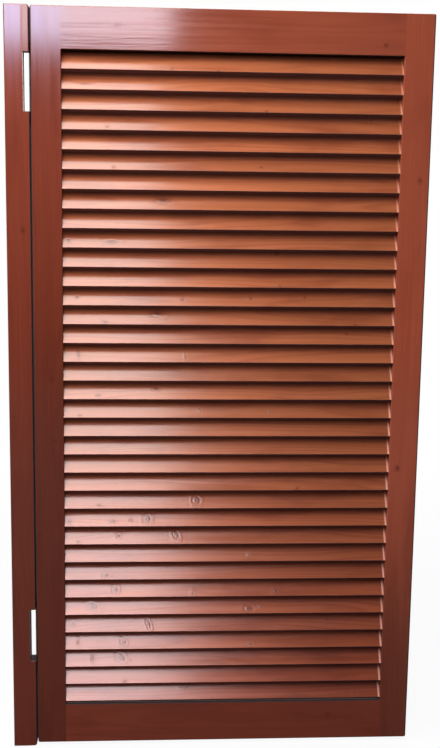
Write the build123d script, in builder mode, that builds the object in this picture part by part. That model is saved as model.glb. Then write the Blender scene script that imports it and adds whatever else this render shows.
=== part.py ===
from build123d import *
import os
from math import cos, radians, sin

# Louvred door leaf on its hinge post, in millimetres.
# X runs to the right along the front, Y runs into the door and Z is up.
# The origin is on the post's outer edge, midway through the wood, level with the foot of the leaf.

# Leaf
leaf_width = 600.5
leaf_height = 1150.0
wood_thickness = 28.0
stile_width = 45.0
top_rail_width = 62.0
bottom_rail_width = 65.0
leaf_corner_round = 2.5
arris_round = 1.5
opening_round = 1.2

# Hinge post
post_width = 36.5
post_rise = 1.0
post_drop = 6.0
post_inner_corner_round = 4.0
post_outer_corner_round = 1.0
post_bevel_width = 12.5
post_bevel_depth = 1.0
swing_gap = 2.0

# Gains, the two notches through the post's inner edge
gain_depth = 9.0
gain_length = 86.0
upper_gain_from_top = 109.0
lower_gain_from_foot = 181.5

# Louvre slats
slat_width = 35.0
slat_thickness = 8.0
slat_slope = 56.0
slat_pitch_wanted = 29.2
slat_arris_round = 0.8
slat_set_back = 0.25
slat_into_top_rail = 1.4
last_arris_above_rail = 5.0
slat_seat_clearance = 0.3

# Joints in the wood
slat_tenon_width = 22.0
slat_tenon_thickness = 6.0
slat_tenon_length = 9.0
rail_tenon_thickness = 10.0
rail_tenon_length = 33.0
rail_tenon_from_outside = 14.0
rail_tenon_from_opening = 7.0
joint_clearance = 0.1
mortise_end_clearance = 1.0

# Two places nearer than this are the same one
same_place = 0.01

# Hinges
plate_thickness = 2.0
barrel_diameter = 8.0
pin_diameter = 4.0
pin_clearance = 0.05
knuckle_gap = 0.3
end_knuckle_length = 15.0
door_plate_reach = 30.0
post_plate_margin = 8.0
plate_to_gain = 2.0
plate_corner_round = 3.0
pin_head_diameter = 7.6
pin_head_height = 2.0
pin_head_round = 0.9

# Countersunk screws
screw_diameter = 3.5
screw_head_diameter = 6.8
screw_length = 18.0
screw_point_length = 5.0
screw_clearance = 0.1
plate_hole_clearance = 0.2
recess_width = 0.9
recess_span = 3.8
recess_depth = 1.1
post_screw_end_margin = 10.0
door_screw_end_margin = 12.0
door_screw_edge_margin = 7.0
door_screw_stagger = 9.0

# Places worked out from the sizes above
half_wood = wood_thickness / 2
leaf_left = post_width + swing_gap
leaf_right = leaf_left + leaf_width
opening_left = leaf_left + stile_width
opening_right = leaf_right - stile_width
opening_top = leaf_height - top_rail_width
opening_bottom = bottom_rail_width
opening_width = opening_right - opening_left
top_tenon = (opening_top + rail_tenon_from_opening, leaf_height - rail_tenon_from_outside)
bottom_tenon = (rail_tenon_from_outside, opening_bottom - rail_tenon_from_opening)
gain_centres = {"upper": leaf_height - upper_gain_from_top, "lower": lower_gain_from_foot}

axis_x = post_width + swing_gap / 2
axis_y = half_wood + barrel_diameter / 2
middle_knuckle_half = gain_length / 2 + plate_to_gain - knuckle_gap
end_knuckle_start = gain_length / 2 + plate_to_gain
hinge_half = end_knuckle_start + end_knuckle_length

slope = radians(slat_slope)
slat_rise = slat_width * sin(slope)
slat_front = slat_set_back - half_wood
first_arris = opening_top + slat_into_top_rail - slat_rise
last_arris = opening_bottom + last_arris_above_rail
slat_count = round((first_arris - last_arris) / slat_pitch_wanted) + 1
slat_pitch = (first_arris - last_arris) / (slat_count - 1)
arris_heights = [first_arris - number * slat_pitch for number in range(slat_count)]

screw_top = half_wood + plate_thickness
pilot_depth = screw_length + mortise_end_clearance
post_screw_x = (post_plate_margin + post_width - gain_depth - plate_to_gain) / 2
post_screw_rise = hinge_half - post_screw_end_margin
post_screw_places = [(post_screw_x, rise) for rise in (-post_screw_rise, 0, post_screw_rise)]
door_screw_x = leaf_left + door_plate_reach - door_screw_edge_margin
door_screw_rise = middle_knuckle_half - door_screw_end_margin
door_screw_places = [
    (door_screw_x, door_screw_rise),
    (door_screw_x - door_screw_stagger, door_screw_rise / 3),
    (door_screw_x - door_screw_stagger, -door_screw_rise / 3),
    (door_screw_x, -door_screw_rise),
]


def save(part, node):
    """Label one finished piece and write its STEP file."""
    part.label = node
    export_step(part, f"parts/{node}.step")


def slat_plane(arris_height, x):
    """Plane square to a slat, centred on its section, with local X up the slope."""
    middle_y = slat_front + slat_width / 2 * cos(slope) + slat_thickness / 2 * sin(slope)
    middle_z = arris_height + slat_width / 2 * sin(slope) - slat_thickness / 2 * cos(slope)
    return Plane(origin=(x, middle_y, middle_z), x_dir=(0, cos(slope), sin(slope)), z_dir=(1, 0, 0))


def rear_plane(x, y, z):
    """Plane that looks out of the door's rear side."""
    return Plane(origin=(x, y, z), x_dir=(-1, 0, 0), z_dir=(0, 1, 0))


def outline_edges(part, inner_x):
    """Edges round a stile's front and rear faces, apart from those on its glued inner side."""
    faces = part.faces().sort_by(Axis.Y)
    edges = faces[0].edges() + faces[-1].edges()
    return edges.filter_by(lambda edge: abs(edge.center().X - inner_x) > same_place)


def sink_screw_holes(places, centre_z, clearance, depth):
    """Cut countersunk holes through one plate, or through the wood behind it."""
    with Locations(*[rear_plane(x, screw_top, centre_z + rise) for x, rise in places]):
        CounterSinkHole(
            radius=screw_diameter / 2 + clearance,
            counter_sink_radius=screw_head_diameter / 2 + screw_clearance,
            depth=depth,
            counter_sink_angle=90,
        )


def opening_arris_waste(inner_x, side):
    """Sections of the wood eased off a stile's two arrises beside the opening."""
    with BuildSketch(Plane.XY.offset(opening_bottom)) as waste:
        for face_y, inward in ((-half_wood, 1), (half_wood, -1)):
            with Locations((inner_x - side * opening_round / 2, face_y + inward * opening_round / 2)):
                Rectangle(opening_round, opening_round)
            with Locations((inner_x - side * opening_round, face_y + inward * opening_round)):
                Circle(opening_round, mode=Mode.SUBTRACT)
    return waste.sketch


os.makedirs("parts", exist_ok=True)


# Stiles
def make_stile(outer_x, inner_x, hinge_side):
    """One full-height stile with its mortises, and with screw holes on the hinge side."""
    side = 1 if inner_x > outer_x else -1
    with BuildPart() as stile:
        with BuildSketch(Plane.XZ) as elevation:
            with Locations(((outer_x + inner_x) / 2, leaf_height / 2)):
                Rectangle(stile_width, leaf_height)
            outer_corners = elevation.vertices().sort_by(Axis.X)[:: side][:2]
            fillet(outer_corners, leaf_corner_round)
        extrude(amount=half_wood, both=True)
        fillet(outline_edges(stile.part, inner_x), arris_round)
        waste = opening_arris_waste(inner_x, side)
        extrude(waste, amount=opening_top - opening_bottom, mode=Mode.SUBTRACT)
        for arris_height in arris_heights:
            with BuildSketch(slat_plane(arris_height, inner_x)):
                Rectangle(slat_tenon_width + 2 * joint_clearance, slat_tenon_thickness + 2 * joint_clearance)
            extrude(amount=-side * (slat_tenon_length + mortise_end_clearance), mode=Mode.SUBTRACT)
        for low, high in (top_tenon, bottom_tenon):
            with BuildSketch(Plane.YZ.offset(inner_x)):
                with Locations((0, (low + high) / 2)):
                    Rectangle(rail_tenon_thickness + 2 * joint_clearance, high - low + 2 * joint_clearance)
            extrude(amount=-side * (rail_tenon_length + mortise_end_clearance), mode=Mode.SUBTRACT)
        if hinge_side:
            for centre_z in gain_centres.values():
                sink_screw_holes(door_screw_places, centre_z, screw_clearance, pilot_depth)
    return stile.part


save(make_stile(leaf_left, opening_left, hinge_side=True), "left_stile")
save(make_stile(leaf_right, opening_right, hinge_side=False), "right_stile")


# Rails
def make_rail(bottom, top, tenon, outer_z, opening_z, slat_arris):
    """One rail with a tenon at each end, eased along its outer and opening arrises."""
    low, high = tenon
    with BuildPart() as rail:
        with BuildSketch(Plane.XZ):
            with Locations(((opening_left + opening_right) / 2, (bottom + top) / 2)):
                Rectangle(opening_width, top - bottom)
        extrude(amount=half_wood, both=True)
        for height, radius in ((outer_z, arris_round), (opening_z, opening_round)):
            long_edges = rail.edges().filter_by(Axis.X)
            fillet(long_edges.filter_by(lambda edge: abs(edge.center().Z - height) < same_place), radius)
        with BuildSketch(Plane.YZ.offset(opening_left - rail_tenon_length)):
            with Locations((0, (low + high) / 2)):
                Rectangle(rail_tenon_thickness, high - low)
        extrude(amount=opening_width + 2 * rail_tenon_length)
        with BuildSketch(slat_plane(slat_arris, opening_left)):
            Rectangle(slat_width + 2 * slat_seat_clearance, slat_thickness + 2 * slat_seat_clearance)
        extrude(amount=opening_width, mode=Mode.SUBTRACT)
    return rail.part


save(make_rail(opening_top, leaf_height, top_tenon, leaf_height, opening_top, first_arris), "top_rail")
save(make_rail(0, opening_bottom, bottom_tenon, 0, opening_bottom, last_arris), "bottom_rail")


# Louvre slats
def make_slat(arris_height):
    """One sloping slat with a stub tenon at each end."""
    with BuildPart() as slat:
        with BuildSketch(slat_plane(arris_height, opening_left)) as section:
            Rectangle(slat_width, slat_thickness)
            fillet(section.vertices(), slat_arris_round)
        extrude(amount=opening_width)
        with BuildSketch(slat_plane(arris_height, opening_left - slat_tenon_length)):
            Rectangle(slat_tenon_width, slat_tenon_thickness)
        extrude(amount=opening_width + 2 * slat_tenon_length)
    return slat.part


for number, arris_height in enumerate(arris_heights, start=1):
    save(make_slat(arris_height), f"louvre_slat_{number:02d}")


# Hinge post
with BuildPart() as hinge_post:
    with BuildSketch(Plane.XZ) as post_elevation:
        with Locations((post_width / 2, (leaf_height + post_rise - post_drop) / 2)):
            Rectangle(post_width, leaf_height + post_rise + post_drop)
        post_corners = post_elevation.vertices().sort_by(Axis.X)
        fillet(post_corners[2:], post_inner_corner_round)
        fillet(post_corners[:2], post_outer_corner_round)
    extrude(amount=half_wood, both=True)
    with BuildSketch(Plane.XY.offset(-post_drop)):
        with BuildLine():
            Polyline(
                (post_width - post_bevel_width, -half_wood),
                (post_width, -half_wood),
                (post_width, post_bevel_depth - half_wood),
                close=True,
            )
        make_face()
    extrude(amount=leaf_height + post_rise + post_drop, mode=Mode.SUBTRACT)
    upright_edges = hinge_post.edges().filter_by(Axis.Z)
    corner_edges = upright_edges.filter_by(
        lambda edge: min(abs(edge.center().X), abs(edge.center().X - post_width)) < same_place
    )
    fillet(corner_edges, arris_round)
    for centre_z in gain_centres.values():
        with BuildSketch(Plane.XZ):
            with Locations((post_width - gain_depth / 2, centre_z)):
                Rectangle(gain_depth, gain_length)
        extrude(amount=half_wood, both=True, mode=Mode.SUBTRACT)
        sink_screw_holes(post_screw_places, centre_z, screw_clearance, pilot_depth)
save(hinge_post.part, "hinge_post")


# Hinges
def make_door_plate(centre_z):
    """Plate on the stile, with the long middle knuckle."""
    with BuildPart() as plate:
        with BuildSketch(rear_plane(0, half_wood, centre_z)) as outline:
            far_x = leaf_left + door_plate_reach
            with Locations((-(axis_x + far_x) / 2, 0)):
                Rectangle(far_x - axis_x, 2 * middle_knuckle_half)
            fillet(outline.vertices().sort_by(Axis.X)[-2:], plate_corner_round)
        extrude(amount=plate_thickness)
        with BuildSketch(Plane.XY.offset(centre_z - middle_knuckle_half)):
            with Locations((axis_x, axis_y)):
                Circle(barrel_diameter / 2)
        extrude(amount=2 * middle_knuckle_half)
        with BuildSketch(Plane.XY.offset(centre_z - middle_knuckle_half)):
            with Locations((axis_x, axis_y)):
                Circle(pin_diameter / 2 + pin_clearance)
        extrude(amount=2 * middle_knuckle_half, mode=Mode.SUBTRACT)
        sink_screw_holes(door_screw_places, centre_z, plate_hole_clearance, plate_thickness)
    return plate.part


def make_post_plate(centre_z):
    """Plate on the post, a C round the gain with a knuckle at each end."""
    with BuildPart() as plate:
        web_edge = post_width - gain_depth - plate_to_gain
        with BuildSketch(rear_plane(0, half_wood, centre_z)) as outline:
            with Locations((-(post_plate_margin + axis_x) / 2, 0)):
                Rectangle(axis_x - post_plate_margin, 2 * hinge_half)
            with Locations((-(web_edge + axis_x) / 2, 0)):
                Rectangle(axis_x - web_edge, 2 * end_knuckle_start, mode=Mode.SUBTRACT)
            fillet(outline.vertices().group_by(Axis.X)[0], plate_corner_round)
        extrude(amount=plate_thickness)
        for start in (-hinge_half, end_knuckle_start):
            with BuildSketch(Plane.XY.offset(centre_z + start)):
                with Locations((axis_x, axis_y)):
                    Circle(barrel_diameter / 2)
            extrude(amount=end_knuckle_length)
            with BuildSketch(Plane.XY.offset(centre_z + start)):
                with Locations((axis_x, axis_y)):
                    Circle(pin_diameter / 2 + pin_clearance)
            extrude(amount=end_knuckle_length, mode=Mode.SUBTRACT)
        sink_screw_holes(post_screw_places, centre_z, plate_hole_clearance, plate_thickness)
    return plate.part


def make_hinge_pin(centre_z):
    """Headed pin that stands in all three knuckles."""
    with BuildPart() as pin:
        with BuildSketch(Plane.XY.offset(centre_z - hinge_half)):
            with Locations((axis_x, axis_y)):
                Circle(pin_diameter / 2)
        extrude(amount=2 * hinge_half)
        with BuildSketch(Plane.XY.offset(centre_z + hinge_half)):
            with Locations((axis_x, axis_y)):
                Circle(pin_head_diameter / 2)
        extrude(amount=pin_head_height)
        fillet(pin.edges().group_by(Axis.Z)[-1], pin_head_round)
    return pin.part


def make_screws(places, centre_z):
    """Group of countersunk screws, with a cross recess in each head."""
    head_radius = screw_head_diameter / 2
    shank_radius = screw_diameter / 2
    tip_y = screw_top - screw_length
    with BuildPart() as screws:
        for x, rise in places:
            height = centre_z + rise
            with BuildSketch(Plane.XY.offset(height)):
                with BuildLine():
                    Polyline(
                        (x, screw_top),
                        (x + head_radius, screw_top),
                        (x + shank_radius, screw_top - (head_radius - shank_radius)),
                        (x + shank_radius, tip_y + screw_point_length),
                        (x, tip_y),
                        close=True,
                    )
                make_face()
            revolve(axis=Axis((x, 0, height), (0, 1, 0)))
            with BuildSketch(rear_plane(x, screw_top, height)):
                Rectangle(recess_span, recess_width)
                Rectangle(recess_width, recess_span)
            extrude(amount=-recess_depth, mode=Mode.SUBTRACT)
    return screws.part


for place, centre_z in gain_centres.items():
    save(make_door_plate(centre_z), f"{place}_door_plate")
    save(make_post_plate(centre_z), f"{place}_post_plate")
    save(make_hinge_pin(centre_z), f"{place}_hinge_pin")
    save(make_screws(door_screw_places, centre_z), f"{place}_door_screws")
    save(make_screws(post_screw_places, centre_z), f"{place}_post_screws")
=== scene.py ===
"""Looks of the louvred door: stained knotty pine, zinc-plated hinges, studio and camera.

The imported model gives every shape. This script dresses each piece with a procedural finish that follows its
own board, and sets the light and the camera. Lengths are in metres in the model's frame: X runs across the
front from the post to the leaf's free edge, Y runs to the rear and Z is up.
"""

import logging
import math
import random
from dataclasses import dataclass, field
from enum import Enum

import bmesh
import bpy
from mathutils import Matrix, Vector


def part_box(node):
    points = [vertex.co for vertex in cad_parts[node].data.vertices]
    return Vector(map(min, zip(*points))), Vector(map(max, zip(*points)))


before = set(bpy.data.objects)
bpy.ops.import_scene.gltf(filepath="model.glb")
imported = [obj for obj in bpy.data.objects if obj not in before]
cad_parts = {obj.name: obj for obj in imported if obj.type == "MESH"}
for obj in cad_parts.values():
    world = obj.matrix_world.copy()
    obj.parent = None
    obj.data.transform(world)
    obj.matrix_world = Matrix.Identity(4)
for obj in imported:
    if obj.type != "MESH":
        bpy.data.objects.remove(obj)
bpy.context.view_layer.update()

log = logging.getLogger("louvred_door")

Pair = tuple[float, float]
Point = tuple[float, float, float]
Colour = tuple[float, float, float]
Box = tuple[Vector, Vector]
Socket = bpy.types.NodeSocket
Value = Socket | float | tuple | None

MM = 0.001
SLAT_SLOPE = math.radians(56.0)
WHITE = (1.0, 1.0, 1.0)
# Most of a noise's values lie in its core, and nearly all of them in its span.
NOISE_MIDDLE = 0.5
NOISE_CORE = (0.3, 0.7)
NOISE_SPAN = (0.25, 0.75)


def srgb(red: int, green: int, blue: int) -> Colour:
    """Turn a colour written in 0 to 255 screen values into linear light, by the sRGB curve.

    Args:
        red: Red value.
        green: Green value.
        blue: Blue value.

    Returns:
        The linear red, green and blue.
    """
    def linear(value: int) -> float:
        """Return one channel as linear light."""
        share = value / 255.0
        return share / 12.92 if share <= 0.04045 else ((share + 0.055) / 1.055) ** 2.4

    return linear(red), linear(green), linear(blue)


def middle_of(box: Box) -> Vector:
    """Return the middle of a box, given by its lowest and highest corners."""
    return (box[0] + box[1]) / 2.0


class Graph:
    """Writes shader nodes into one tree, so that a finish reads as a list of steps."""

    def __init__(self, tree: bpy.types.NodeTree) -> None:
        """Keep the tree to write into."""
        self.tree = tree

    def put(self, socket: Socket, value: Value) -> None:
        """Link a socket into an input, or set the input to a number, vector or colour.

        Args:
            socket: The input.
            value: What it takes, or None to leave it.
        """
        if isinstance(value, Socket):
            self.tree.links.new(value, socket)
        elif value is not None:
            socket.default_value = value

    def node(self, kind: str, inputs: dict | None = None, **settings: object) -> bpy.types.Node:
        """Add a node, set its properties, and set or link its inputs.

        Args:
            kind: The node's type name.
            inputs: Values or sockets by input name or number.
            settings: Properties of the node.

        Returns:
            The new node.
        """
        made = self.tree.nodes.new(kind)
        for name, value in settings.items():
            setattr(made, name, value)
        for name, value in (inputs or {}).items():
            self.put(made.inputs[name], value)
        return made

    def math(self, operation: str, first: Value, second: Value = None) -> Socket:
        """Add a math node and return its result."""
        return self.node("ShaderNodeMath", {0: first, 1: second}, operation=operation).outputs[0]

    def add(self, first: Value, second: Value) -> Socket:
        """Return the sum of two numbers."""
        return self.math("ADD", first, second)

    def subtract(self, first: Value, second: Value) -> Socket:
        """Return the first number less the second."""
        return self.math("SUBTRACT", first, second)

    def multiply(self, first: Value, second: Value) -> Socket:
        """Return the product of two numbers."""
        return self.math("MULTIPLY", first, second)

    def divide(self, first: Value, second: Value) -> Socket:
        """Return the first number over the second."""
        return self.math("DIVIDE", first, second)

    def length(self, first: Value, second: Value) -> Socket:
        """Return the length of the slant of two numbers at right angles."""
        return self.math("SQRT", self.add(self.multiply(first, first), self.multiply(second, second)))

    def vector(self, operation: str, first: Value, second: Value = None) -> Socket:
        """Add a vector math node and return its vector."""
        return self.node("ShaderNodeVectorMath", {0: first, 1: second}, operation=operation).outputs[0]

    def join(self, x: Value, y: Value, z: Value) -> Socket:
        """Return a vector of three numbers."""
        return self.node("ShaderNodeCombineXYZ", {0: x, 1: y, 2: z}).outputs[0]

    def split(self, vector: Socket) -> tuple[Socket, ...]:
        """Return a vector's three numbers."""
        return tuple(self.node("ShaderNodeSeparateXYZ", {0: vector}).outputs)

    def place(self) -> Socket:
        """Return the place in the model's frame, which every piece's object shares."""
        return self.node("ShaderNodeTexCoord").outputs["Object"]

    def noise(self, vector: Socket, scale: float, detail: float, roughness: float = 0.5,
              output: str = "Fac") -> Socket:
        """Add a noise about 0.5.

        Args:
            vector: Where it is read.
            scale: Its size, in waves per unit of the vector.
            detail: Number of finer layers.
            roughness: Strength of each finer layer.
            output: Fac for one value, Color for three separate ones.

        Returns:
            The value or the colour.
        """
        inputs = {"Vector": vector, "Scale": scale, "Detail": detail, "Roughness": roughness}
        return self.node("ShaderNodeTexNoise", inputs).outputs[output]

    def range(self, value: Socket, between: Pair, to: Pair = (0.0, 1.0), smooth: bool = True) -> Socket:
        """Map a range of values to another and hold it at its ends.

        Args:
            value: The value to map.
            between: Values that give the first and the last result.
            to: The first and the last result.
            smooth: Ease in and out.

        Returns:
            The mapped value.
        """
        low, high = between
        first, last = to
        inputs = {"Value": value, "From Min": low, "From Max": high, "To Min": first, "To Max": last}
        style = "SMOOTHSTEP" if smooth else "LINEAR"
        return self.node("ShaderNodeMapRange", inputs, interpolation_type=style).outputs["Result"]

    def ramp(self, factor: Socket, stops: tuple[Pair, ...]) -> Socket:
        """Read a grey value from stops.

        Args:
            factor: Where to read, from 0 to 1.
            stops: Each stop's place and grey value.

        Returns:
            The grey value.
        """
        made = self.node("ShaderNodeValToRGB", {"Fac": factor})
        elements = made.color_ramp.elements
        while len(elements) < len(stops):
            elements.new(0.5)
        for element, (place, grey) in zip(elements, stops):
            element.position = place
            element.color = (grey, grey, grey, 1.0)
        return made.outputs["Color"]

    def mix(self, factor: Value, first: Value, second: Value, blend: str = "MIX") -> Socket:
        """Mix two colours.

        Args:
            factor: Share of the second colour.
            first: First colour.
            second: Second colour.
            blend: How they are mixed.

        Returns:
            The mixed colour.
        """
        made = self.node("ShaderNodeMix", data_type="RGBA", blend_type=blend)
        for name, value in (("Factor", factor), ("A", first), ("B", second)):
            socket = next(s for s in made.inputs if s.name == name and s.enabled)
            self.put(socket, (*value, 1.0) if isinstance(value, tuple) else value)
        return next(s for s in made.outputs if s.enabled)

    def bump(self, height: Socket, distance: float, normal: Socket | None = None) -> Socket:
        """Return the surface's direction where a height lies on it, or on a direction that it already has."""
        inputs = {"Height": height, "Distance": distance, "Normal": normal}
        return self.node("ShaderNodeBump", inputs).outputs[0]


def new_group(name: str, inputs: dict[str, str], outputs: dict[str, str]) -> tuple:
    """Start a shared node group.

    Args:
        name: The group's name.
        inputs: Socket kinds by input name.
        outputs: Socket kinds by output name.

    Returns:
        The tree, its graph, its input node and its output node.
    """
    tree = bpy.data.node_groups.new(name, "ShaderNodeTree")
    for way, sockets in (("INPUT", inputs), ("OUTPUT", outputs)):
        for label, kind in sockets.items():
            tree.interface.new_socket(label, in_out=way, socket_type=f"NodeSocket{kind}")
    graph = Graph(tree)
    return tree, graph, graph.node("NodeGroupInput"), graph.node("NodeGroupOutput")


@dataclass
class Surface:
    """What has been worked out for a finish so far.

    Attributes:
        graph: Writes its nodes.
        colour: Its colour.
        rough: Its roughness.
        height: Its height, as a multiple of the finish's relief.
    """

    graph: Graph
    colour: Socket
    rough: Socket
    height: Socket

    def tone(self, share: Socket, colour: Colour) -> None:
        """Lay a share of a colour over the surface."""
        self.colour = self.graph.mix(share, self.colour, colour)

    def dull(self, share: Socket, amount: float) -> None:
        """Add to the roughness where the share is above 0."""
        self.rough = self.graph.add(self.rough, self.graph.multiply(share, amount))

    def raise_by(self, height: Socket, amount: float) -> None:
        """Add a multiple of a height."""
        self.height = self.graph.add(self.height, self.graph.multiply(height, amount))


def wire(material: bpy.types.Material, surface: Surface, normal: Socket) -> bpy.types.Node:
    """Link a surface into a material's shader.

    Args:
        material: The material.
        surface: Its colour and roughness.
        normal: Its direction.

    Returns:
        The shader.
    """
    shader = material.node_tree.nodes["Principled BSDF"]
    for label, socket in (("Base Color", surface.colour), ("Roughness", surface.rough), ("Normal", normal)):
        surface.graph.put(shader.inputs[label], socket)
    return shader


def new_material(name: str) -> tuple[bpy.types.Material, Graph]:
    """Start a material.

    Args:
        name: The material's name.

    Returns:
        The material and its graph.
    """
    material = bpy.data.materials.new(name)
    material.use_nodes = True
    return material, Graph(material.node_tree)


class Grain(Enum):
    """How a board lies in the door: rows give its along, across and depth directions in the model's frame."""

    UPRIGHT = ((0.0, 0.0, 1.0), (1.0, 0.0, 0.0), (0.0, 1.0, 0.0))
    LEVEL = ((1.0, 0.0, 0.0), (0.0, 0.0, 1.0), (0.0, -1.0, 0.0))
    LOUVRE = (
        (1.0, 0.0, 0.0),
        (0.0, math.cos(SLAT_SLOPE), math.sin(SLAT_SLOPE)),
        (0.0, -math.sin(SLAT_SLOPE), math.cos(SLAT_SLOPE)),
    )

    def matrix(self) -> Matrix:
        """Return the turn from the model's frame to the board's own."""
        return Matrix(self.value)


class Side(Enum):
    """A side of a piece's box: its axis in the model, and 0 for the box's low end or 1 for its high end."""

    LEFT = (0, 0)
    RIGHT = (0, 1)
    UNDER = (2, 0)
    TOP = (2, 1)


@dataclass(frozen=True)
class Knot:
    """A knot in a board, placed from the board's middle.

    Attributes:
        along: Distance along the grain.
        across: Distance across the wide face.
        radius: Half width across the grain.
        stretch: Length over width, above 1 for a spike knot cut along its branch.
        turn: Angle of the long way from the grain, in degrees.
    """

    along: float
    across: float
    radius: float
    stretch: float = 1.2
    turn: float = 0.0


@dataclass(frozen=True)
class ShadeFade:
    """Painted shade: a board darkened towards one end, where less light falls, in places along it from its
    middle.

    Attributes:
        least_at: Where the least of the colour is left.
        full_at: Where the colour is whole.
        least: Share of the colour left at least_at.
    """

    least_at: float
    full_at: float
    least: float


@dataclass(frozen=True)
class ShadedSide:
    """A side of a board with painted shade, nearly black, where it lies in shade.

    Attributes:
        side: The side.
        inset: How far inside the piece's box the painted shade begins.
        depth: Half of the wood's thickness that the painted shade covers.
        clear: Half of the wood's thickness, from its middle, that the painted shade leaves free.
        inset_blur: Half of the length over which the painted shade begins.
        depth_blur: Length over which it ends in depth.
        dullness: What it adds to the roughness.
    """

    side: Side
    inset: float
    depth: float = 0.016
    clear: float = 0.0
    inset_blur: float = 0.0004
    depth_blur: float = 0.001
    dullness: float = 0.8

    def stain(self, surface: Surface, model: Socket, box: Box, colour: Colour) -> None:
        """Paint shade on the side, nearly black.

        Args:
            surface: The piece's surface.
            model: Place in the model.
            box: The piece's lowest and highest corners.
            colour: The painted shade's colour.
        """
        graph = surface.graph
        spot = graph.split(model)
        axis, end = self.side.value
        outward = 1.0 if end else -1.0
        beyond = graph.multiply(graph.subtract(spot[axis], box[end][axis] - outward * self.inset), outward)
        from_middle = graph.math("ABSOLUTE", spot[1])
        shaded = graph.multiply(graph.range(beyond, (-self.inset_blur, self.inset_blur)),
                                 graph.range(graph.subtract(self.depth, from_middle), (0.0, self.depth_blur)))
        if self.clear:
            blur = self.depth_blur / 2.0
            outside = graph.range(from_middle, (self.clear - blur, self.clear + blur))
            shaded = graph.multiply(shaded, outside)
        # Painted shade: the side is laid nearly black where it lies in shade.
        surface.tone(shaded, colour)
        surface.dull(shaded, self.dullness)


@dataclass(frozen=True)
class SlatEdges:
    """A slat's edges, from its middle, how the varnish lies there, and the shade painted on it.

    Attributes:
        half_length: Half of its length between the stiles.
        arris: From its middle to the front arris, across the grain.
        face: From its middle to its upper face.
        bead: Length at the right end where the varnish has run into a bead.
        bead_height: Height of the bead.
        bead_highlight_share: Share of the bead's own colour.
        bead_dullness: What the bead adds to the roughness.
        lip_fade: From the arris, where the painted shade of the front edge begins and ends to fade.
        under_fade: Below the upper face, where the painted shade of the front edge begins and ends to fade.
        edge_shade_share: Share of the painted shade on the front edge.
        edge_dullness: What it adds to the roughness.
        shade_fade: From the arris, where the painted shade under the slat above begins and where it is
            darkest.
        shade: Share of the painted shade there.
    """

    half_length: float = 0.2553
    arris: float = -0.0175
    face: float = 0.004
    bead: float = 0.0038
    bead_height: float = 0.0011
    # bead_highlight_share: Share of the bead's painted highlight colour.
    bead_highlight_share: float = 0.7
    bead_dullness: float = 0.25
    lip_fade: Pair = (0.0001, 0.0008)
    under_fade: Pair = (0.0022, 0.0010)
    edge_shade_share: float = 0.9
    edge_dullness: float = 0.5
    shade_fade: Pair = (0.014, 0.026)
    shade: float = 0.5

    def run_bead(self, surface: Surface, along: Socket, normal: Socket, colour: Colour) -> Socket:
        """Let the varnish run into a bead at the right end, and paint a highlight on it.

        Args:
            surface: The slat's surface.
            along: Place along the slat.
            normal: The surface's direction.
            colour: The bead's colour, a painted highlight.

        Returns:
            The direction with the bead on it.
        """
        graph = surface.graph
        reach = graph.subtract(along, self.half_length - self.bead)
        climb = graph.math("POWER", graph.divide(graph.math("MAXIMUM", reach, 0.0), self.bead), 2.0)
        beaded = graph.range(reach, (0.0, self.bead / 2.0))
        # Painted highlight: the bead is coloured lighter than the wood.
        surface.tone(graph.multiply(beaded, self.bead_highlight_share), colour)
        surface.dull(beaded, self.bead_dullness)
        return graph.bump(climb, self.bead_height, normal)

    def paint_shade(self, surface: Surface, across: Socket, depth: Socket, colour: Colour) -> None:
        """Paint shade on the front edge, and on the face where it lies behind the slat above.

        Args:
            surface: The slat's surface.
            across: Place across the slat.
            depth: Place through its thickness.
            colour: The painted shade's colour.
        """
        graph = surface.graph
        # Painted shade on the front edge, which faces down into shadow.
        lip = graph.range(across, tuple(self.arris + gap for gap in self.lip_fade), (1.0, 0.0))
        under = graph.range(depth, tuple(self.face - gap for gap in self.under_fade), (1.0, 0.0))
        shaded = graph.math("MAXIMUM", lip, under)
        surface.tone(graph.multiply(shaded, self.edge_shade_share), colour)
        surface.dull(shaded, self.edge_dullness)
        # Painted shade on the face where it lies behind the slat above.
        behind = graph.range(across, tuple(self.arris + gap for gap in self.shade_fade), (0.0, self.shade))
        surface.tone(behind, colour)


@dataclass(frozen=True)
class Board:
    """One board, as its finish needs to know it.

    Attributes:
        name: The name of its material.
        grain: How it lies.
        box: Its lowest and highest corners in the model's frame.
        seed: Number that sets where in the wood it was cut.
        knots: Its knots.
        pith: Where the tree's heart lies, across and in depth from the board's middle.
        tint: Multiplies the stain's colour.
        fade: The painted shade that darkens it towards one end.
        shaded_sides: Its sides with painted shade.
        edges: Its edges, if it is a slat.
    """

    name: str
    grain: Grain
    box: Box
    seed: int
    knots: list[Knot]
    pith: Pair
    tint: Colour
    fade: ShadeFade | None = None
    shaded_sides: tuple[ShadedSide, ...] = ()
    edges: SlatEdges | None = None


@dataclass(frozen=True)
class Marks:
    """A noise drawn out along the grain.

    Attributes:
        along: Marks per metre along the grain.
        across: Marks per metre across it.
        detail: Number of finer layers.
        roughness: Strength of each finer layer.
    """

    along: float
    across: float
    detail: float = 3.0
    roughness: float = 0.55

    def draw(self, graph: Graph, place: Socket, output: str = "Fac") -> Socket:
        """Return the noise at a place in the wood."""
        stretched = graph.vector("MULTIPLY", place, (self.along, self.across, self.across))
        return graph.noise(stretched, 1.0, self.detail, self.roughness, output)


@dataclass(frozen=True)
class PineGroups:
    """The node groups that every pine board shares.

    Attributes:
        knot: Bends the grain round a knot.
        figure: Gives the rings, fibres and stain.
    """

    knot: bpy.types.NodeTree
    figure: bpy.types.NodeTree


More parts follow.
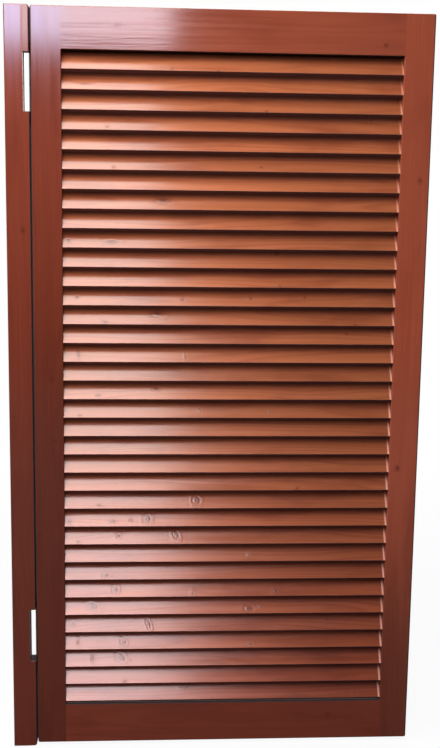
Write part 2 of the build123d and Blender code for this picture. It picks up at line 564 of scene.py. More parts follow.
@dataclass(frozen=True)
class PineWood:
    """How pine grows and takes up stain.

    Attributes:
        outline_scale: Waves per metre on a knot's ragged outline.
        outline_detail: Number of finer layers of them.
        outline_span: Noise values between which the outline moves.
        outline: Least and most that it multiplies the distance from the knot by.
        bend: Square of the distance, in knot radii, at which the grain is bent half as much as in the knot.
        wander: How the rings wander.
        wander_reach: How far they wander, across and in depth.
        growth_scale: Changes of growth per year.
        growth_detail: Number of finer layers of them.
        growth: How many years' width the changes come to.
        late_wood: How dark the wood is through one year's growth.
        fibre: Fine fibres.
        streak: Longer streaks.
        blotch: Patches that took up more stain.
        wave: Waves in the varnish.
    """

    outline_scale: float = 170.0
    outline_detail: float = 2.0
    outline_span: Pair = (0.2, 0.8)
    outline: Pair = (0.72, 1.28)
    bend: float = 0.7
    wander: Marks = Marks(2.2, 9.0, detail=2.0, roughness=0.5)
    wander_reach: float = 0.03
    growth_scale: float = 0.6
    growth_detail: float = 1.0
    growth: float = 1.6
    late_wood: tuple[Pair, ...] = (
        (0.0, 0.35), (0.12, 0.0), (0.5, 0.12), (0.86, 1.0), (0.96, 0.9), (1.0, 0.35))
    fibre: Marks = Marks(14.0, 800.0, roughness=0.6)
    streak: Marks = Marks(3.0, 150.0)
    blotch: Marks = Marks(7.0, 26.0)
    wave: Marks = Marks(9.0, 60.0, detail=2.0, roughness=0.4)

    def groups(self) -> PineGroups:
        """Build both groups."""
        return PineGroups(self.knot_group(), self.figure_group())

    def knot_group(self) -> bpy.types.NodeTree:
        """Build the group that bends the grain round a knot and measures how far a point is from it.

        Returns:
            The group, with the bent place and the distance in knot radii.
        """
        tree, graph, given, result = new_group(
            "knot_in_grain",
            {"Place": "Vector", "Nearest": "Float", "Centre": "Vector", "Radius": "Float", "Stretch": "Float",
             "Turn": "Float"},
            {"Place": "Vector", "Nearest": "Float"},
        )
        place = given.outputs["Place"]
        arm = graph.vector("SUBTRACT", place, given.outputs["Centre"])
        turned = graph.node("ShaderNodeVectorRotate", {"Vector": arm, "Angle": given.outputs["Turn"]},
                            rotation_type="Z_AXIS").outputs[0]
        along, across, _ = graph.split(turned)
        reach = graph.length(graph.divide(along, given.outputs["Stretch"]), across)
        ragged = graph.noise(place, self.outline_scale, self.outline_detail)
        radii = graph.multiply(graph.divide(reach, given.outputs["Radius"]),
                               graph.range(ragged, self.outline_span, self.outline, smooth=False))
        push = graph.divide(self.bend, graph.add(graph.multiply(radii, radii), self.bend))
        shift = graph.join(0.0, graph.multiply(graph.split(arm)[1], push), 0.0)
        graph.put(result.inputs["Place"], graph.vector("SUBTRACT", place, shift))
        graph.put(result.inputs["Nearest"], graph.math("MINIMUM", radii, given.outputs["Nearest"]))
        return tree

    def figure_group(self) -> bpy.types.NodeTree:
        """Build the group that gives the annual rings, fibres and stain of a board.

        Returns:
            The group, with late wood, fibre, streak, blotch and varnish wave values between 0 and 1.
        """
        tree, graph, given, result = new_group(
            "pine_figure",
            {"Place": "Vector", "Seed": "Vector", "Pith": "Vector", "Spacing": "Float"},
            {"Late": "Float", "Fibre": "Float", "Streak": "Float", "Blotch": "Float", "Wave": "Float"},
        )
        place = given.outputs["Place"]
        sample = graph.vector("ADD", place, given.outputs["Seed"])
        wander = graph.vector("SUBTRACT", self.wander.draw(graph, sample, "Color"), (NOISE_MIDDLE,) * 3)
        reach = (0.0, self.wander_reach, self.wander_reach)
        wandered = graph.vector("ADD", place, graph.vector("MULTIPLY", wander, reach))
        _, across, depth = graph.split(graph.vector("SUBTRACT", wandered, given.outputs["Pith"]))
        years = graph.divide(graph.length(across, depth), given.outputs["Spacing"])
        changes = {"W": years, "Scale": self.growth_scale, "Detail": self.growth_detail}
        uneven = graph.node("ShaderNodeTexNoise", changes, noise_dimensions="1D").outputs["Fac"]
        share = graph.math("FRACT", graph.add(years, graph.multiply(uneven, self.growth)))
        graph.put(result.inputs["Late"], graph.ramp(share, self.late_wood))
        marks = {"Fibre": self.fibre, "Streak": self.streak, "Blotch": self.blotch, "Wave": self.wave}
        for label, mark in marks.items():
            graph.put(result.inputs[label], mark.draw(graph, sample))
        return tree


@dataclass(frozen=True)
class KnotLook:
    """How knots show under the stain and the varnish. Distances from a knot are in its radii.

    Attributes:
        body: Inside of a knot.
        rim: Bark ring and cracks of a knot.
        share: How strongly the knots show.
        swell: How far the varnish swells over a knot, as a multiple of the finish's relief.
        halo_share: Share of the gathered stain beside a knot.
        halo_fade: Where that stain begins and ends to fade.
        body_fade: Where the knot's inside begins and ends to fade.
        ring_reach: How far out the rings go.
        rings: Strength of the bark ring and cracks, by the share of ring_reach.
        ring_share: Share of their colour.
        swell_fade: Where the swelling begins and ends to fade.
        ripple_rate: How fast the varnish ripples, in radians per radius.
        ripple: Height of the ripples over the swelling's.
        groove: Depth of the rings over the swelling's height.
    """

    body: Colour = srgb(104, 48, 30)
    rim: Colour = srgb(60, 24, 15)
    share: float = 0.65
    swell: float = 1.6
    halo_share: float = 0.5
    halo_fade: Pair = (0.8, 2.6)
    body_fade: Pair = (0.2, 1.0)
    ring_reach: float = 2.0
    rings: tuple[Pair, ...] = ((0.0, 0.9), (0.12, 0.4), (0.30, 0.1), (0.46, 0.7), (0.54, 0.4), (0.7, 0.0))
    ring_share: float = 0.35
    swell_fade: Pair = (0.2, 3.6)
    ripple_rate: float = 4.5
    ripple: float = 0.5
    groove: float = 0.5

    def show(self, surface: Surface, nearest: Socket, deep: Colour) -> None:
        """Draw the board's knots.

        Args:
            surface: The board's surface.
            nearest: Distance from the nearest knot.
            deep: Colour of the gathered stain.
        """
        graph = surface.graph
        surface.tone(graph.range(nearest, self.halo_fade, (self.halo_share * self.share, 0.0)), deep)
        surface.tone(graph.range(nearest, self.body_fade, (self.share, 0.0)), self.body)
        rim = graph.ramp(graph.divide(nearest, self.ring_reach), self.rings)
        surface.tone(graph.multiply(rim, self.ring_share * self.share), self.rim)
        swell = graph.range(nearest, self.swell_fade, (1.0, 0.0))
        ripple = graph.multiply(graph.math("SINE", graph.multiply(nearest, self.ripple_rate)), swell)
        bump = graph.subtract(graph.add(swell, graph.multiply(ripple, self.ripple)),
                              graph.multiply(rim, self.groove))
        surface.raise_by(bump, self.swell)


@dataclass(frozen=True)
class StainedPine:
    """Knotty pine under a red-brown stain and gloss varnish.

    Attributes:
        pale: Early wood between the lines.
        dark: Late wood lines.
        deep: Where the stain has gathered.
        side_shade: Painted shade, nearly black, on sides that lie in shade: the swing gap, the gains, the
            leaf's free edge and the rails beside the slats.
        shadow: Painted shade on a slat's front edge, and where one slat lies behind the next.
        bead: Lighter colour on the varnish bead at a slat's end, a painted highlight.
        knot: How the knots show.
        line_share: How strongly the late wood lines show.
        line_weight: Least and most weight of a line along its length.
        blotch_span: Noise values between which a blotch comes in.
        blotch_share: Share of the gathered stain in a blotch.
        streak_shade: Least and most that a streak multiplies the colour by.
        fibre_shade: Least and most that a fibre multiplies the colour by.
        gloss: Lowest and highest roughness of the varnish.
        specular: Strength of the varnish's reflection.
        relief: Depth of what the streaks leave on the varnish.
        wave_height: Height of the varnish's waves over the streaks'.
        late_height: Height of the late wood over the streaks'.
        ring_spacing: Width of a year's growth.
        cut_range: How far from each other in the wood the boards are cut, either way.
        no_knot: Distance, in knot radii, that counts as away from any knot.
    """

    pale: Colour = srgb(186, 106, 66)
    dark: Colour = srgb(150, 74, 42)
    deep: Colour = srgb(142, 70, 42)
    # Painted shade, nearly black, for the sides of the boards that lie in shade.
    side_shade: Colour = srgb(48, 17, 11)
    # Painted shade for the slats' front edges and the faces behind the slat above.
    shadow: Colour = srgb(74, 26, 15)
    # Painted highlight colour for the varnish bead.
    bead: Colour = srgb(194, 109, 66)
    knot: KnotLook = KnotLook()
    line_share: float = 0.55
    line_weight: Pair = (0.3, 1.0)
    blotch_span: Pair = (0.45, 0.75)
    blotch_share: float = 0.6
    streak_shade: Pair = (0.90, 1.08)
    fibre_shade: Pair = (0.95, 1.04)
    gloss: Pair = (0.17, 0.23)
    specular: float = 0.8
    relief: float = 0.00007
    wave_height: float = 1.6
    late_height: float = 0.10
    ring_spacing: float = 0.0042
    cut_range: float = 4.0
    no_knot: float = 9.0

    def material(self, groups: PineGroups, board: Board) -> bpy.types.Material:
        """Make the material of one board.

        Args:
            groups: The shared node groups.
            board: The board.

        Returns:
            The material.
        """
        material, graph = new_material(board.name)
        model = graph.place()
        turn = board.grain.matrix()
        shift = -(turn @ middle_of(board.box))
        straight = graph.node("ShaderNodeMapping", {
            "Vector": model, "Location": tuple(shift), "Rotation": tuple(turn.to_euler()),
        }).outputs[0]
        along, across, depth = graph.split(straight)
        place, nearest = self.bend_grain(graph, groups, board.knots, straight)
        surface = self.stain(graph, groups, board, place, along)
        if board.knots:
            self.knot.show(surface, nearest, self.deep)
        # Painted shade on the board's sides that lie in shade.
        for side in board.shaded_sides:
            side.stain(surface, model, board.box, self.side_shade)
        normal = graph.bump(surface.height, self.relief)
        if board.edges:
            # The bead gets a painted highlight colour.
            normal = board.edges.run_bead(surface, along, normal, self.bead)
            # Painted shade on the slat's front edge and behind the slat above.
            board.edges.paint_shade(surface, across, depth, self.shadow)
        shader = wire(material, surface, normal)
        shader.inputs["Specular IOR Level"].default_value = self.specular
        return material

    def bend_grain(self, graph: Graph, groups: PineGroups, knots: list[Knot], place: Socket) -> tuple:
        """Bend the grain round a board's knots.

        Args:
            graph: Writes the nodes.
            groups: The shared node groups.
            knots: The knots.
            place: Place in the board.

        Returns:
            The bent place, and the distance from the nearest knot.
        """
        nearest: Value = self.no_knot
        for knot in knots:
            step = graph.node("ShaderNodeGroup", node_tree=groups.knot)
            given = {"Place": place, "Nearest": nearest, "Centre": (knot.along, knot.across, 0.0),
                     "Radius": knot.radius, "Stretch": knot.stretch, "Turn": math.radians(knot.turn)}
            for label, value in given.items():
                graph.put(step.inputs[label], value)
            place, nearest = step.outputs["Place"], step.outputs["Nearest"]
        return place, nearest

    def stain(self, graph: Graph, groups: PineGroups, board: Board, place: Socket, along: Socket) -> Surface:
        """Draw a board's figure under the stain.

        Args:
            graph: Writes the nodes.
            groups: The shared node groups.
            board: The board.
            place: Place in the board, bent round its knots.
            along: Place along the board.

        Returns:
            The surface of clear wood.
        """
        draw = random.Random(board.seed)
        cut = tuple(draw.uniform(-self.cut_range, self.cut_range) for _ in range(3))
        figure = graph.node("ShaderNodeGroup", node_tree=groups.figure)
        given = {"Place": place, "Seed": cut, "Pith": (0.0, *board.pith), "Spacing": self.ring_spacing}
        for label, value in given.items():
            graph.put(figure.inputs[label], value)
        late, fibre, streak, blotch, wave = (
            figure.outputs[label] for label in ("Late", "Fibre", "Streak", "Blotch", "Wave"))
        lines = graph.multiply(late, graph.range(streak, NOISE_CORE, self.line_weight))
        colour = graph.mix(graph.multiply(lines, self.line_share), self.pale, self.dark)
        colour = graph.mix(graph.range(blotch, self.blotch_span, (0.0, self.blotch_share)), colour, self.deep)
        shade = graph.multiply(graph.range(streak, NOISE_SPAN, self.streak_shade, smooth=False),
                               graph.range(fibre, NOISE_SPAN, self.fibre_shade, smooth=False))
        # Painted shade: darker towards one end of the board.
        if board.fade:
            reach = (board.fade.least_at, board.fade.full_at)
            shade = graph.multiply(shade, graph.range(along, reach, (board.fade.least, 1.0)))
        shades = (graph.multiply(shade, share) for share in board.tint)
        colour = graph.mix(1.0, colour, graph.join(*shades), "MULTIPLY")
        surface = Surface(graph, colour, graph.range(streak, NOISE_CORE, self.gloss), streak)
        surface.raise_by(wave, self.wave_height)
        surface.raise_by(late, self.late_height)
        return surface


FRAME_PINE = StainedPine(
    pale=srgb(128, 58, 40), dark=srgb(108, 45, 30), deep=srgb(110, 47, 32), line_share=0.35,
    knot=KnotLook(body=srgb(82, 34, 22), rim=srgb(54, 22, 15), share=0.5, swell=0.4),
    gloss=(0.08, 0.12), relief=0.00005)
SLAT_PINE = StainedPine()


@dataclass(frozen=True)
class ZincPlate:
    """Bright zinc plate on pressed steel, brushed upwards.

    Attributes:
        colour: The metal's colour.
        dull: Colour where it has dulled.
        roughness: Base roughness.
        brush_across: Brush marks per metre across them.
        brush_along: Brush marks per metre along them.
        brush_detail: Number of finer layers of them.
        brush_rough: Least and most that the brush marks add to the roughness.
        brush_depth: Depth of the brush marks.
        cloud_scale: Dull clouds per metre.
        cloud_detail: Number of finer layers of them.
        cloud_span: Noise values between which a cloud comes in.
        cloud_rough: Least and most that the clouds add to the roughness.
    """

    colour: Colour = srgb(196, 196, 190)
    dull: Colour = srgb(150, 150, 146)
    roughness: float = 0.3
    brush_across: float = 1500.0
    brush_along: float = 40.0
    brush_detail: float = 2.0
    brush_rough: Pair = (-0.05, 0.08)
    brush_depth: float = 0.00001
    cloud_scale: float = 70.0
    cloud_detail: float = 4.0
    cloud_span: Pair = (0.35, 0.7)
    cloud_rough: Pair = (-0.04, 0.1)

    def material(self, name: str) -> bpy.types.Material:
        """Make the metal's material.

        Args:
            name: The material's name.

        Returns:
            The material.
        """
        material, graph = new_material(name)
        place = graph.place()
        stretch = (self.brush_across, self.brush_across, self.brush_along)
        brushed = graph.noise(graph.vector("MULTIPLY", place, stretch), 1.0, self.brush_detail)
        cloud = graph.noise(place, self.cloud_scale, self.cloud_detail)
        colour = graph.mix(graph.range(cloud, self.cloud_span), self.colour, self.dull)
        clouded = tuple(self.roughness + more for more in self.cloud_rough)
        rough = graph.add(graph.range(brushed, NOISE_CORE, self.brush_rough, smooth=False),
                          graph.range(cloud, NOISE_CORE, clouded))
        surface = Surface(graph, colour, rough, brushed)
        shader = wire(material, surface, graph.bump(surface.height, self.brush_depth))
        shader.inputs["Metallic"].default_value = 1.0
        return material


def dress(node: str, material: bpy.types.Material) -> None:
    """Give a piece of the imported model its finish.

    Args:
        node: The piece's name.
        material: Its new material.
    """
    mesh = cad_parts[node].data
    mesh.materials.clear()
    mesh.materials.append(material)
    log.info("%s dressed with %s", node, material.name)


def knot_mm(along: float, across: float, radius: float) -> Knot:
    """Return a knot whose sizes are written in millimetres."""
    return Knot(along * MM, across * MM, radius * MM)


@dataclass
class HingePost:
    """The narrow upright that the leaf hangs on.

    Attributes:
        finish: Its pine.
        groups: Shared node groups.
        seed: Number that sets where in the wood it was cut.
        pith: Where the tree's heart lies, across and in depth.
        tint: What its colour is multiplied by.
        fade: Painted shade that darkens it towards the foot.
        knots: Its knots.
        shaded_sides: Painted shade on the gains' inner walls, and on the side in the swing gap.
    """

    finish: StainedPine
    groups: PineGroups
    seed: int = 3
    pith: Pair = (-0.03, 0.05)
    tint: Colour = (1.25, 1.28, 1.25)
    # Painted shade: the post darkens towards the foot.
    fade: ShadeFade = ShadeFade(-0.25, 0.45, 0.60)
    knots: list[Knot] = field(default_factory=lambda: [knot_mm(250, 6, 3)])
    # Painted shade on the gains' inner walls and on the side in the swing gap.
    shaded_sides: tuple[ShadedSide, ...] = (
        ShadedSide(Side.RIGHT, 0.0093, depth=0.0128), ShadedSide(Side.RIGHT, 0.0009))

    def build(self) -> None:
        """Dress the post."""
        board = Board("post_pine", Grain.UPRIGHT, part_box("hinge_post"), self.seed, self.knots, self.pith,
                      self.tint, self.fade, self.shaded_sides)
        dress("hinge_post", self.finish.material(self.groups, board))


@dataclass(frozen=True)
class FramePiece:
    """A stile or a rail of the leaf.

    Attributes:
        node: Its name.
        grain: How it lies.
        tint: What its colour is multiplied by.
        shaded_side: Its side with painted shade, in the swing gap, at the leaf's free edge or in the opening.
        knots: Its knots.
        fade: Painted shade that darkens it towards one end.
    """

    node: str
    grain: Grain
    tint: Colour
    shaded_side: ShadedSide
    knots: tuple[Knot, ...]
    fade: ShadeFade | None = None


@dataclass
class LeafFrame:
    """The leaf's two stiles and two rails.

    Attributes:
        finish: Their pine.
        groups: Shared node groups.
        first_seed: Seed of the first piece. Each piece after it has the next number.
        pith: Where the tree's heart lies, across and in depth.
        pieces: The pieces.
    """

    finish: StainedPine
    groups: PineGroups
    first_seed: int = 11
    pith: Pair = (0.02, -0.06)
    # Each piece has painted shade on the side that lies in shade.
    pieces: tuple[FramePiece, ...] = (
        FramePiece("left_stile", Grain.UPRIGHT, (1.12, 1.16, 1.10), ShadedSide(Side.LEFT, 0.0010),
                   (knot_mm(22, 4, 4), knot_mm(-76, 9, 3), knot_mm(-226, -16, 3.5)), ShadeFade(-0.2, 0.42, 0.56)),
        FramePiece("right_stile", Grain.UPRIGHT, (1.95, 2.25, 2.15),
                   ShadedSide(Side.RIGHT, 0.0018, clear=0.0118),
                   (knot_mm(330, 8, 3), knot_mm(-120, -9, 3.5)), ShadeFade(-0.5, -0.1, 0.42)),
        FramePiece("top_rail", Grain.LEVEL, (1.72, 2.05, 1.98), ShadedSide(Side.UNDER, 0.0006),
                   (knot_mm(-175, 6, 1.4), knot_mm(-169, 7, 1.1), knot_mm(226, -16, 2.4)),
                   ShadeFade(-0.3, 0.05, 0.72)),
        FramePiece("bottom_rail", Grain.LEVEL, (1.0, 1.0, 0.95), ShadedSide(Side.TOP, 0.0010),
                   (knot_mm(170, 8, 3.5),)),
    )

    def build(self) -> None:
        """Dress the four pieces, with the grain along each."""
        for seed, piece in enumerate(self.pieces, start=self.first_seed):
            board = Board(f"{piece.node}_pine", piece.grain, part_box(piece.node), seed, list(piece.knots),
                          self.pith, piece.tint, piece.fade, (piece.shaded_side,))
            dress(piece.node, self.finish.material(self.groups, board))


@dataclass
class LouvreBank:
    """The fixed slats between the stiles, numbered from the top.

    Attributes:
        finish: Their pine.
        groups: Shared node groups.
        count: Number of slats.
        edges: Their edges.
        shown: Width of the face that shows from the front.
        seed: Start of the random draws.
        tone: Least and most that a slat's own tone multiplies its colour by.
        full_tone: Last slat from the top that has its full colour.
        foot_shade: Share of the red, green and blue taken from the lowest slat by painted shade, which makes
            the lower slats darker and redder.
        right_shade: Share of the colour taken at the right end by painted shade, for the top and the lowest
            slat.
        right_shade_fade: Where along a slat that painted shade is whole, and where it begins.
        pith_across: How far across the tree's heart may lie, either way.
        pith_depth: Least and most that it lies in front of or behind the slat.
        stray_chance: Chance of a knot more on a slat.
        stray_along: Where along the right half it lies.
        stray_across: How far across it may lie, either way.
        stray_radius: Its least and greatest radius.
        stray_stretch: Its least and greatest length over width.
        stray_turn: How far it may turn from the grain either way, in degrees.
        seen_knots: For a slat, its knots as model X in millimetres, share of the shown face up from the
            arris, radius in millimetres, length over width, and turn in degrees.
    """

    finish: StainedPine
    groups: PineGroups
    count: int = 35
    edges: SlatEdges = SlatEdges()
    shown: float = 0.027
    seed: int = 40
    tone: Pair = (0.93, 1.07)
    full_tone: int = 20
    # Painted shade: the lower slats darker and redder, and every slat darker towards its right end.
    foot_shade: Colour = (0.04, 0.26, 0.20)
    right_shade: Pair = (0.10, 0.46)
    right_shade_fade: Pair = (0.2, -0.15)
    pith_across: float = 0.03
    pith_depth: Pair = (0.02, 0.06)
    stray_chance: float = 0.3
    stray_along: Pair = (0.02, 0.25)
    stray_across: float = 0.016
    stray_radius: Pair = (0.001, 0.0022)
    stray_stretch: Pair = (1.0, 2.0)
    stray_turn: float = 30.0
    seen_knots: dict[int, list[tuple[float, ...]]] = field(default_factory=lambda: {
        1: [(246, 0.12, 2.0, 1.2, 0), (315, 0.02, 2.2, 1.2, 0)],
        2: [(118, 0.35, 1.2, 6.0, 0)],
        3: [(388, 0.06, 2.0, 1.2, 0)],
        4: [(151, 0.2, 2.0, 1.4, 0)],
        6: [(160, 0.15, 2.0, 1.2, 0), (382, 0.3, 1.6, 1.2, 0)],
        8: [(234, 0.6, 5.5, 2.0, 0)],
        10: [(92, 0.4, 4.0, 1.0, 0), (156, 0.35, 4.0, 2.5, 0)],
        13: [(104, 0.5, 2.5, 1.2, 0), (265, 0.4, 2.5, 1.4, 0), (370, 0.5, 1.8, 1.2, 0),
             (454, 0.6, 1.6, 1.2, 0)],
        14: [(147, 0.15, 2.2, 1.8, 30), (227, 0.7, 5.0, 1.8, 0)],
        16: [(106, 0.45, 2.0, 3.0, 80), (271, 0.35, 1.6, 3.5, 85)],
        18: [(136, 0.25, 2.6, 1.2, 0), (224, 0.65, 3.0, 1.4, 0)],
        19: [(108, 0.15, 2.6, 1.0, 0), (295, 0.5, 1.6, 1.6, 0), (403, 0.4, 1.6, 1.2, 0)],
        24: [(137, 0.2, 2.4, 1.0, 0), (290, 0.5, 6.0, 1.0, 0)],
        25: [(90, 0.3, 5.0, 1.0, 0), (157, 0.3, 3.0, 1.6, 0), (186, 0.4, 2.2, 1.0, 0),
             (212, 0.45, 5.5, 1.0, 0)],
        26: [(104, 0.15, 2.4, 1.2, 20), (167, 0.5, 3.0, 1.0, 0), (258, 0.6, 4.0, 1.8, 60)],
        28: [(147, 0.25, 4.0, 1.2, 0)],
        29: [(162, 0.45, 4.5, 1.1, 60), (285, 0.2, 2.0, 1.4, 90), (418, 0.3, 3.0, 1.2, 0)],
        30: [(126, 0.5, 5.5, 1.5, 30), (376, 0.3, 5.0, 1.4, 0)],
        31: [(215, 0.45, 3.2, 2.4, 70), (95, 0.5, 4.0, 1.0, 0)],
        32: [(102, 0.45, 2.0, 2.6, 80), (175, 0.4, 4.0, 1.2, 40), (381, 0.25, 2.4, 1.2, 0)],
        33: [(125, 0.5, 2.2, 3.4, 85), (171, 0.5, 6.0, 1.2, 40)],
        34: [(177, 0.1, 2.0, 1.2, 0)],
        35: [(271, 0.85, 3.5, 1.2, 0), (553, 0.25, 2.6, 1.2, 0)],
    })

    def knots_of(self, number: int, middle: Vector, draw: random.Random) -> list[Knot]:
        """List a slat's knots: those seen from the front, and now and then one more in its right half.

        Args:
            number: The slat's number from the top.
            middle: The slat's middle.
            draw: Source of random numbers.

        Returns:
            The knots, from the slat's middle.
        """
        knots = [Knot(x * MM - middle.x, self.edges.arris + share * self.shown, radius * MM, stretch, turn)
                 for x, share, radius, stretch, turn in self.seen_knots.get(number, [])]
        if draw.random() < self.stray_chance:
            along = draw.uniform(*self.stray_along)
            across = draw.uniform(-self.stray_across, self.stray_across)
            radius = draw.uniform(*self.stray_radius)
            stretch = draw.uniform(*self.stray_stretch)
            turn = draw.uniform(-self.stray_turn, self.stray_turn)
            knots.append(Knot(along, across, radius, stretch, turn))
        return knots

    def build(self) -> None:
        """Dress every slat as a board of its own."""
        draw = random.Random(self.seed)
        for number in range(1, self.count + 1):
            node = f"louvre_slat_{number:02d}"
            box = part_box(node)
            pith = (draw.uniform(-self.pith_across, self.pith_across),
                    draw.choice((-1.0, 1.0)) * draw.uniform(*self.pith_depth))
            knots = self.knots_of(number, middle_of(box), draw)
            # Painted shade: the lower slats are darker and redder.
            lower = max(0.0, (number - self.full_tone) / (self.count - self.full_tone))
            tone = draw.uniform(*self.tone)
            tint = tuple(tone * (1.0 - loss * lower) for loss in self.foot_shade)
            # Painted shade: each slat darkens towards its right end, more on the lower slats.
            top_shade, foot_shade = self.right_shade
            right = top_shade + (foot_shade - top_shade) * (number - 1) / (self.count - 1)
            board = Board(f"{node}_pine", Grain.LOUVRE, box, self.seed + number, knots, pith, tint,
                          ShadeFade(*self.right_shade_fade, 1.0 - right), edges=self.edges)
            dress(node, self.finish.material(self.groups, board))


@dataclass
class RearHinges:
    """Two three-knuckle hinges on the rear faces, with their screws.

    Attributes:
        plate_finish: Metal of the plates and pins.
        screw_finish: Metal of the screws.
    """

    plate_finish: ZincPlate = ZincPlate()
    screw_finish: ZincPlate = ZincPlate(colour=srgb(206, 204, 196), roughness=0.26)

    def build(self) -> None:
        """Dress both hinges."""
        plate = self.plate_finish.material("hinge_zinc")
        screw = self.screw_finish.material("screw_zinc")
        for level in ("upper", "lower"):
            for part in ("door_plate", "post_plate", "hinge_pin"):
                dress(f"{level}_{part}", plate)
            for part in ("door_screws", "post_screws"):
                dress(f"{level}_{part}", screw)


@dataclass(frozen=True)
class SoftLight:
    """A square-cornered diffuse lamp.

    Attributes:
        name: The lamp's name.
        place: Its middle.
        aim: The point it faces.
        size: Its width and height.
        radiance: Brightness of its face, where 1 is white.
        colour: Its colour.
        turn: Turn about its own line of aim, in degrees.
    """

    name: str
    place: Point
    aim: Point
    size: Pair
    radiance: float
    colour: Colour = WHITE
    turn: float = 0.0

    def build(self) -> None:
        """Hang the lamp."""
        data = bpy.data.lights.new(self.name, "AREA")
        data.shape = "RECTANGLE"
        data.size, data.size_y = self.size
        data.energy = self.radiance * math.pi * self.size[0] * self.size[1]
        data.color = self.colour
        lamp = bpy.data.objects.new(self.name, data)
        lamp.location = self.place
        way = Vector(self.aim) - Vector(self.place)
        aimed = way.to_track_quat("-Z", "Y").to_matrix()
        lamp.rotation_euler = (aimed @ Matrix.Rotation(math.radians(self.turn), 3, "Z")).to_euler()
        lamp.visible_camera = False
        bpy.context.scene.collection.objects.link(lamp)
        log.info("lamp %s hung", self.name)


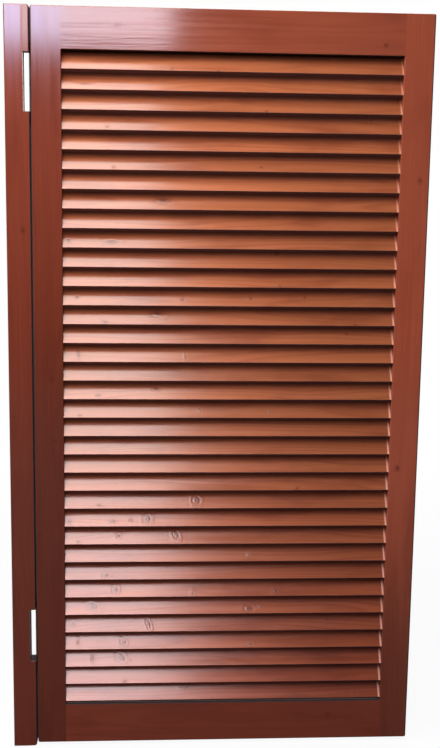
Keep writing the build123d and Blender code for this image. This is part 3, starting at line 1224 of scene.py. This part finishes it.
@dataclass
class Studio:
    """Floor, light and camera.

    Attributes:
        eye: The camera's place.
        target: The point at the middle of the view.
        roll: How far the picture's right side tilts up, in degrees.
        lens: Focal length in millimetres.
        sensor: Long side of the picture in the camera, in millimetres.
        sight: How far the camera sees.
        floor_z: Height of the floor.
        floor_size: Side of the floor.
        floor_roughness: Roughness of the floor.
        floor_colour: The floor's colour to the camera.
        floor_bounce: The floor's colour in the light that it sends back to the object.
        stand: The point of the floor that its white is measured from, under the door's middle.
        white_fade: From the stand, where the floor begins to turn to plain white and where it is plain white.
        white_share: Share of plain white in the floor to the camera, at the stand and far off.
        rear_fade: Model Y where the floor begins to show in the object's gloss, and where it shows wholly.
        lamps: The lamps.
        world_diffuse: Light of the room on the object.
        world_gloss: Brightness of the room in the object's gloss, in front of it and behind it.
        world_rearward: Directions towards the rear between which the one turns to the other.
    """

    eye: Point = (0.20686, -1.83473, 0.91894)
    target: Point = (0.32407, -0.014, 0.6056)
    roll: float = 0.844
    lens: float = 57.6
    sensor: float = 36.0
    sight: float = 60.0
    floor_z: float = -0.006
    floor_size: float = 24.0
    floor_roughness: float = 0.9
    floor_colour: Colour = (0.8, 0.8, 0.8)
    floor_bounce: Colour = (0.08, 0.08, 0.08)
    stand: Pair = (0.32, 0.0)
    white_fade: Pair = (0.7, 2.6)
    white_share: Pair = (0.93, 1.0)
    rear_fade: Pair = (0.0, 0.6)
    lamps: tuple[SoftLight, ...] = (
        SoftLight("overhead_near", place=(-0.396, -0.625, 1.9), aim=(-0.396, -0.625, 0.0), size=(1.3, 1.15),
                  radiance=6.0, turn=6.0),
        SoftLight("overhead_far", place=(-0.32, -1.925, 1.9), aim=(-0.32, -1.925, 0.0), size=(1.3, 1.45),
                  radiance=7.2, colour=(1.06, 0.95, 1.0), turn=4.0),
        SoftLight("window_sky", place=(-0.52, -4.0, 1.83), aim=(-0.52, 0.0, 1.83), size=(0.62, 0.65),
                  radiance=10.8, colour=(0.78, 0.88, 1.32)),
        SoftLight("window_wall", place=(0.06, -4.0, 1.83), aim=(0.06, 0.0, 1.83), size=(0.54, 0.65),
                  radiance=10.8, colour=(0.84, 0.76, 0.86)),
        SoftLight("window_foot", place=(-0.24, -4.0, 1.47), aim=(-0.24, 0.0, 1.47), size=(1.14, 0.07),
                  radiance=3.2, colour=(0.80, 0.84, 1.18)),
        SoftLight("rear_fill", place=(0.9, 3.2, 1.9), aim=(0.3, 0.0, 0.6), size=(2.4, 2.0), radiance=6.5),
    )
    world_diffuse: float = 0.02
    world_gloss: Pair = (0.02, 0.5)
    world_rearward: Pair = (-0.15, 0.35)

    def build(self) -> None:
        """Set up the whole studio."""
        self.lay_floor()
        for lamp in self.lamps:
            lamp.build()
        self.light_world()
        self.place_camera()
        bpy.context.scene.view_settings.view_transform = "Standard"

    def lay_floor(self) -> None:
        """Lay the pale floor under the post's foot."""
        mesh = bpy.data.meshes.new("studio_floor")
        sheet = bmesh.new()
        bmesh.ops.create_grid(sheet, x_segments=1, y_segments=1, size=self.floor_size / 2.0,
                              matrix=Matrix.Translation((0.0, 0.0, self.floor_z)))
        sheet.to_mesh(mesh)
        sheet.free()
        floor = bpy.data.objects.new("studio_floor", mesh)
        bpy.context.scene.collection.objects.link(floor)
        mesh.materials.append(self.floor_material())
        log.info("floor laid")

    def floor_material(self) -> bpy.types.Material:
        """Make the floor's material, which is nearly plain white to the camera and dim to the object.

        Returns:
            The material.
        """
        material, graph = new_material("pale_floor")
        shader = material.node_tree.nodes["Principled BSDF"]
        shader.inputs["Roughness"].default_value = self.floor_roughness
        shader.inputs["Specular IOR Level"].default_value = 0.0
        path = graph.node("ShaderNodeLightPath")
        to_camera = path.outputs["Is Camera Ray"]
        graph.put(shader.inputs["Base Color"], graph.mix(to_camera, self.floor_bounce, self.floor_colour))
        place = graph.place()
        distance = graph.node("ShaderNodeVectorMath", {0: place, 1: (*self.stand, self.floor_z)},
                              operation="DISTANCE").outputs["Value"]
        white = graph.range(distance, self.white_fade, self.white_share)
        rearward = graph.range(graph.split(place)[1], self.rear_fade)
        behind = graph.multiply(path.outputs["Is Glossy Ray"], rearward)
        seen = graph.math("MINIMUM", graph.add(to_camera, behind), 1.0)
        glow = graph.node("ShaderNodeEmission", {"Color": (*WHITE, 1.0), "Strength": 1.0}).outputs[0]
        share = graph.multiply(seen, white)
        both = graph.node("ShaderNodeMixShader", {0: share, 1: shader.outputs[0], 2: glow}).outputs[0]
        graph.put(material.node_tree.nodes["Material Output"].inputs["Surface"], both)
        return material

    def light_world(self) -> None:
        """Fill the room: white to the camera, and in the object's gloss pale behind it and dim before it."""
        world = bpy.data.worlds.new("studio_room")
        bpy.context.scene.world = world
        world.use_nodes = True
        graph = Graph(world.node_tree)
        path = graph.node("ShaderNodeLightPath")
        direction = graph.node("ShaderNodeTexCoord").outputs["Generated"]
        gloss = graph.range(graph.split(direction)[1], self.world_rearward, self.world_gloss)
        level = graph.add(graph.multiply(path.outputs["Is Glossy Ray"], gloss),
                          graph.multiply(path.outputs["Is Diffuse Ray"], self.world_diffuse))
        level = graph.add(level, path.outputs["Is Camera Ray"])
        level = graph.add(level, path.outputs["Is Transmission Ray"])
        background = world.node_tree.nodes["Background"]
        background.inputs["Color"].default_value = (*WHITE, 1.0)
        graph.put(background.inputs["Strength"], level)

    def place_camera(self) -> None:
        """Put the camera where the photograph was taken from."""
        ahead = (Vector(self.target) - Vector(self.eye)).normalized()
        level_right = ahead.cross(Vector((0.0, 0.0, 1.0))).normalized()
        level_up = level_right.cross(ahead)
        tilt = math.radians(self.roll)
        right = level_right * math.cos(tilt) + level_up * math.sin(tilt)
        up = level_up * math.cos(tilt) - level_right * math.sin(tilt)
        data = bpy.data.cameras.new("camera")
        data.lens = self.lens
        data.sensor_width = self.sensor
        data.sensor_fit = "AUTO"
        data.clip_end = self.sight
        camera = bpy.data.objects.new("camera", data)
        camera.matrix_world = Matrix((right, up, -ahead)).transposed().to_4x4()
        camera.location = self.eye
        bpy.context.scene.collection.objects.link(camera)
        bpy.context.scene.camera = camera
        log.info("camera placed")


def main() -> None:
    """Dress the whole door and set up its studio."""
    logging.basicConfig(level=logging.INFO, format="%(name)s: %(message)s")
    groups = PineWood().groups()
    HingePost(FRAME_PINE, groups).build()
    LeafFrame(FRAME_PINE, groups).build()
    LouvreBank(SLAT_PINE, groups).build()
    RearHinges().build()
    Studio().build()


if __name__ == "__main__":
    main()
